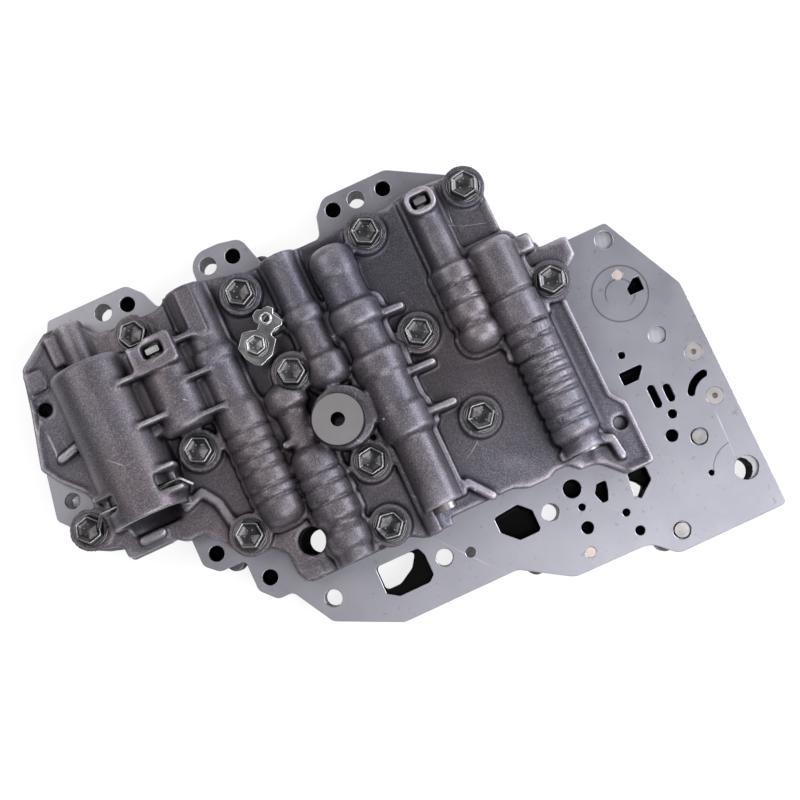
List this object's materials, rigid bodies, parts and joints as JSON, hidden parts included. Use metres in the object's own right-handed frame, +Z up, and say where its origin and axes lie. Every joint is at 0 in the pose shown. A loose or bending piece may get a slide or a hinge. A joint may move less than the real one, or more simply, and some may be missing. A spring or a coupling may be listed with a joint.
{
  "type": "transmission valve body",
  "caption": "Die-cast hydraulic valve body with ridged spool valve bores, a steel separator plate, flange bolts and an accumulator.",
  "frame": {"origin": "middle of the outline, on the machined back it lies on", "axes": "+X along the plate's long straight lower edge, +Z up out of the upper casting"},
  "size_m": [0.2738, 0.196, 0.0472],
  "materials": {
    "valve_alloy": "hard anodised, ground lands",
    "spring_steel": "drawn wire",
    "bolt_steel": "black oxide, worn rims",
    "hard_steel": "ground",
    "plug_alloy": "turned face",
    "lower_casting": "dark satin, machined faces",
    "copper_discs": "dull copper plated",
    "retainer_steel": "satin with bright edges",
    "plate_steel": "satin, blue grey",
    "upper_casting": "dark satin, as cast"
  },
  "bodies": {
    "castings": {"accumulator_cap": "valve_alloy", "accumulator_clip": "spring_steel", "accumulator_spring": "spring_steel", "body_bolts": "bolt_steel", "check_balls": "hard_steel", "clutch_key": "hard_steel", "clutch_plug": "valve_alloy", "clutch_spring": "spring_steel", "converter_key": "hard_steel", "converter_plug": "valve_alloy", "converter_spring": "spring_steel", "flush_plugs": "plug_alloy", "locating_pin": "hard_steel", "lower_body": "lower_casting", "main_pressure_key": "hard_steel", "main_pressure_plug": "valve_alloy", "main_pressure_spring": "spring_steel", "orifice_plugs": "copper_discs", "priority_key": "hard_steel", "priority_plug": "valve_alloy", "priority_spring": "spring_steel", "rear_bolts": "bolt_steel", "regulator_key": "hard_steel", "regulator_plug": "valve_alloy", "regulator_spring": "spring_steel", "relief_pin": "hard_steel", "retainer_plate": "retainer_steel", "retainer_screw": "bolt_steel", "separator_plate": "plate_steel", "shift_left_key": "hard_steel", "shift_left_plug": "valve_alloy", "shift_left_spring": "spring_steel", "shift_middle_key": "hard_steel", "shift_middle_plug": "valve_alloy", "shift_middle_spring": "spring_steel", "upper_body": "upper_casting"},
    "regulator_valve": {"regulator_valve": "valve_alloy"},
    "shift_left_valve": {"shift_left_valve": "valve_alloy"},
    "priority_valve": {"priority_valve": "valve_alloy"},
    "shift_middle_valve": {"shift_middle_valve": "valve_alloy"},
    "main_pressure_valve": {"main_pressure_valve": "valve_alloy"},
    "converter_valve": {"converter_valve": "valve_alloy"},
    "clutch_valve": {"clutch_valve": "valve_alloy"},
    "accumulator_piston": {"accumulator_piston": "valve_alloy"}
  },
  "joints": [
    {"name": "regulator_slide", "type": "slide", "parent": "castings", "child": "regulator_valve", "axis": [0, 1, 0], "range_m": [0, 0.005], "stiffness_N_per_m": 400, "springref_m": -0.004, "deforming": ["regulator_spring"]},
    {"name": "shift_left_slide", "type": "slide", "parent": "castings", "child": "shift_left_valve", "axis": [0, 1, 0], "range_m": [0, 0.005], "stiffness_N_per_m": 400, "springref_m": -0.004, "deforming": ["shift_left_spring"]},
    {"name": "priority_slide", "type": "slide", "parent": "castings", "child": "priority_valve", "axis": [0, 1, 0], "range_m": [0, 0.005], "stiffness_N_per_m": 400, "springref_m": -0.004, "deforming": ["priority_spring"]},
    {"name": "shift_middle_slide", "type": "slide", "parent": "castings", "child": "shift_middle_valve", "axis": [0, -1, 0], "range_m": [0, 0.005], "stiffness_N_per_m": 400, "springref_m": -0.004, "deforming": ["shift_middle_spring"]},
    {"name": "main_pressure_slide", "type": "slide", "parent": "castings", "child": "main_pressure_valve", "axis": [0, -1, 0], "range_m": [0, 0.005], "stiffness_N_per_m": 400, "springref_m": -0.004, "deforming": ["main_pressure_spring"]},
    {"name": "converter_slide", "type": "slide", "parent": "castings", "child": "converter_valve", "axis": [0, 1, 0], "range_m": [0, 0.005], "stiffness_N_per_m": 400, "springref_m": -0.004, "deforming": ["converter_spring"]},
    {"name": "clutch_slide", "type": "slide", "parent": "castings", "child": "clutch_valve", "axis": [0, -1, 0], "range_m": [0, 0.005], "stiffness_N_per_m": 400, "springref_m": -0.004, "deforming": ["clutch_spring"]},
    {"name": "accumulator_slide", "type": "slide", "parent": "castings", "child": "accumulator_piston", "axis": [0, -1, 0], "range_m": [0, 0.01], "stiffness_N_per_m": 1500, "springref_m": -0.008, "deforming": ["accumulator_spring"]}
  ]
}
